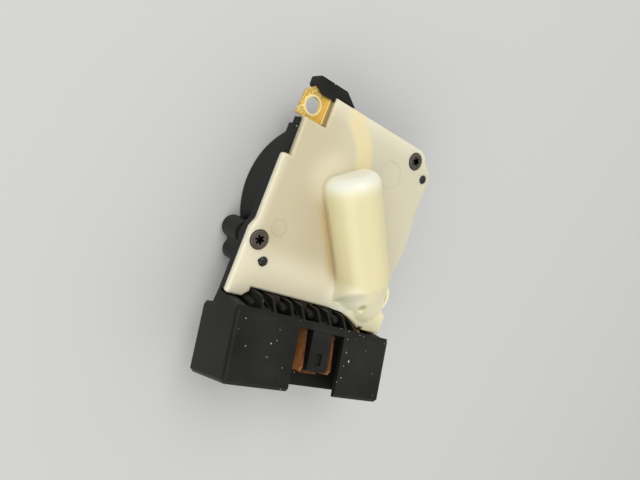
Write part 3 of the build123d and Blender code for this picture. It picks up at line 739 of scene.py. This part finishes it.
def tail_point(down, turn):
    """A point of the tail's skin: that far down in mm, and round from right to left."""
    middle, right, left, crown, wall, left_foot, right_foot = smooth_through(TAIL_SECTIONS, down)
    arc = CROWN_SHARE - WALL_SHARE
    if turn < WALL_SHARE:
        # up the right wall
        side, height = right, right_foot + (wall - right_foot) * turn / WALL_SHARE
    elif turn < CROWN_SHARE:
        # a quarter of an ellipse from the wall up to the crown
        angle = (turn - WALL_SHARE) / arc * pi / 2
        side = middle + (right - middle) * cos(angle)
        height = wall + (crown - wall) * sin(angle)
    else:
        # down the left flank, steep beside the pod and gentle further down
        angle = min((turn - CROWN_SHARE) / arc, 1) * pi / 2
        out = sin(angle)
        side = middle + (left - middle) * out
        steep = FLANK_WALL + (crown - FLANK_WALL) * cos(angle)
        gentle = left_foot + (crown - left_foot) * cos(pi / 2 * out**FLANK_POWER) ** 2
        spread = min(max((down - FLANK_FROM) / FLANK_OVER, 0), 1)
        spread = spread * spread * (3 - 2 * spread)
        height = (1 - spread) * steep + spread * gentle
        drop = max(turn - 1 + WALL_SHARE, 0) / WALL_SHARE
        height += (left_foot - height) * drop
    x = POD_WAY[0] * down - POD_WAY[1] * side
    y = POD_WAY[1] * down + POD_WAY[0] * side
    height -= dimple_depth(x, y)
    return Vector((x * MM, y * MM, PLATE_TOP + height * MM))


def make_pod_tail():
    """The solid in which the pod runs out smoothly into the raised corner."""
    bpy.ops.object.select_all(action="DESELECT")
    bpy.ops.mesh.primitive_grid_add(x_subdivisions=90, y_subdivisions=110, size=1)
    tail = bpy.context.object
    tail.name = tail.data.name = "pod_tail"
    first, last = TAIL_SECTIONS[0][0], TAIL_SECTIONS[-1][0]
    for point in tail.data.vertices:
        down = first + (last - first) * (point.co.x + 0.5)
        point.co = tail_point(down, point.co.y + 0.5)
    # the skirt goes down into the plate and is closed there
    bpy.ops.object.mode_set(mode="EDIT")
    bpy.ops.mesh.select_all(action="DESELECT")
    bpy.ops.mesh.select_non_manifold()
    drop = (0, 0, -SKIRT_DROP * MM)
    bpy.ops.mesh.extrude_region_move(TRANSFORM_OT_translate={"value": drop})
    foot = Vector((0, 0, PLATE_TOP - SKIRT_FOOT * MM))
    bpy.ops.transform.resize(value=(1, 1, 0), center_override=foot)
    bpy.ops.mesh.edge_face_add()
    bpy.ops.mesh.quads_convert_to_tris()
    bpy.ops.mesh.select_all(action="SELECT")
    bpy.ops.mesh.normals_make_consistent(inside=False)
    bpy.ops.object.mode_set(mode="OBJECT")
    return tail


def make_cover():
    """The cover moulding, joined in one with the pod's smooth tail."""
    tail = make_pod_tail()
    cover = copy_of("cover", "cover_moulding")
    join = cover.modifiers.new("join", "BOOLEAN")
    join.operation = "UNION"
    join.solver = "EXACT"
    join.object = tail
    bpy.ops.object.modifier_apply(modifier="join")
    bpy.data.objects.remove(tail)
    bpy.ops.object.shade_smooth_by_angle(angle=radians(32))
    even = cover.modifiers.new("even", "WEIGHTED_NORMAL")
    even.keep_sharp = True
    bpy.ops.object.modifier_apply(modifier="even")
    dress(cover, FINISHES["cover"])
    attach(cover, "base")
    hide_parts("cover")


# ---- contact springs and peg tips -------------------------------------------
def make_contact_springs():
    """Copies of the contact springs, which ride with the rotor."""
    for circuit in ("ignition", "accessory", "start"):
        node = f"contact_spring_{circuit}"
        spring = copy_of(node, f"pressed_spring_{circuit}")
        bpy.ops.object.shade_smooth_by_angle(angle=radians(40))
        dress(spring, WIRE)
        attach(spring, "rotor")
        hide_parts(node)
        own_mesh(spring)


def make_peg_tips():
    """Crowned glossy tips on the two locating pegs."""
    for k, (x, y) in enumerate(PEGS):
        foot = (x * MM, y * MM, PEG_FOOT)
        bpy.ops.object.select_all(action="DESELECT")
        bpy.ops.mesh.primitive_circle_add(
            vertices=40, radius=PEG_RADIUS * MM, fill_type="NGON", location=foot
        )
        tip = bpy.context.object
        tip.name = tip.data.name = f"peg_tip_{k + 1}"
        bpy.ops.object.transform_apply(location=True)
        bpy.ops.object.mode_set(mode="EDIT")
        bpy.ops.mesh.select_all(action="SELECT")
        for rise, narrow in PEG_STEPS:
            up = (0, 0, rise * MM)
            bpy.ops.mesh.extrude_region_move(TRANSFORM_OT_translate={"value": up})
            bpy.ops.transform.resize(value=(narrow, narrow, 1), center_override=foot)
        bpy.ops.mesh.select_all(action="SELECT")
        bpy.ops.mesh.normals_make_consistent(inside=False)
        bpy.ops.object.mode_set(mode="OBJECT")
        bpy.ops.object.shade_smooth_by_angle(angle=radians(50))
        dress(tip, PEG_GLOSS)
        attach(tip, "base")


make_supply_strip()
make_cover()
make_contact_springs()
make_peg_tips()


# ---- floor, lights and camera -----------------------------------------------
def lay_floor():
    """A pale plain floor."""
    bpy.ops.object.select_all(action="DESELECT")
    bpy.ops.mesh.primitive_plane_add(size=3.0, location=(0, 0, 0))
    floor = bpy.context.object
    floor.name = "floor"
    finish, _, shader, _ = new_finish("pale_floor")
    shader.inputs["Base Color"].default_value = (0.62, 0.62, 0.61, 1)
    shader.inputs["Roughness"].default_value = 0.8
    dress(floor, finish)


def hang_lamp(name, toward, distance, size, watts):
    """A soft square lamp at that distance, aimed at the switch."""
    lamp = bpy.data.lights.new(name, "AREA")
    lamp.shape = "SQUARE"
    lamp.size = size
    lamp.energy = watts
    holder = bpy.data.objects.new(name, lamp)
    bpy.context.scene.collection.objects.link(holder)
    toward = Vector(toward).normalized()
    holder.location = LAMP_AIM + toward * distance
    holder.rotation_euler = toward.to_track_quat("Z", "Y").to_euler()


def light_room():
    """An even pale room."""
    world = bpy.data.worlds.new("room")
    bpy.context.scene.world = world
    world.use_nodes = True
    back = world.node_tree.nodes["Background"]
    back.inputs["Color"].default_value = (1.0, 0.99, 0.97, 1)
    back.inputs["Strength"].default_value = 0.60


def aim_camera():
    """The switch seen from above and to its left."""
    right = Vector(CAMERA_RIGHT).normalized()
    forward = Vector(CAMERA_FORWARD)
    forward = (forward - right * forward.dot(right)).normalized()
    up = right.cross(forward)
    turn = Matrix((right, up, -forward)).transposed()
    camera = bpy.data.cameras.new("camera")
    camera.lens = CAMERA_LENS
    camera.sensor_width = 36
    camera.clip_start = 0.01
    holder = bpy.data.objects.new("camera", camera)
    bpy.context.scene.collection.objects.link(holder)
    holder.matrix_world = Matrix.Translation(CAMERA_PLACE) @ turn.to_4x4()
    bpy.context.scene.camera = holder


lay_floor()
for lamp_values in LAMPS:
    hang_lamp(*lamp_values)
light_room()
aim_camera()
bpy.context.scene.view_settings.view_transform = "Standard"
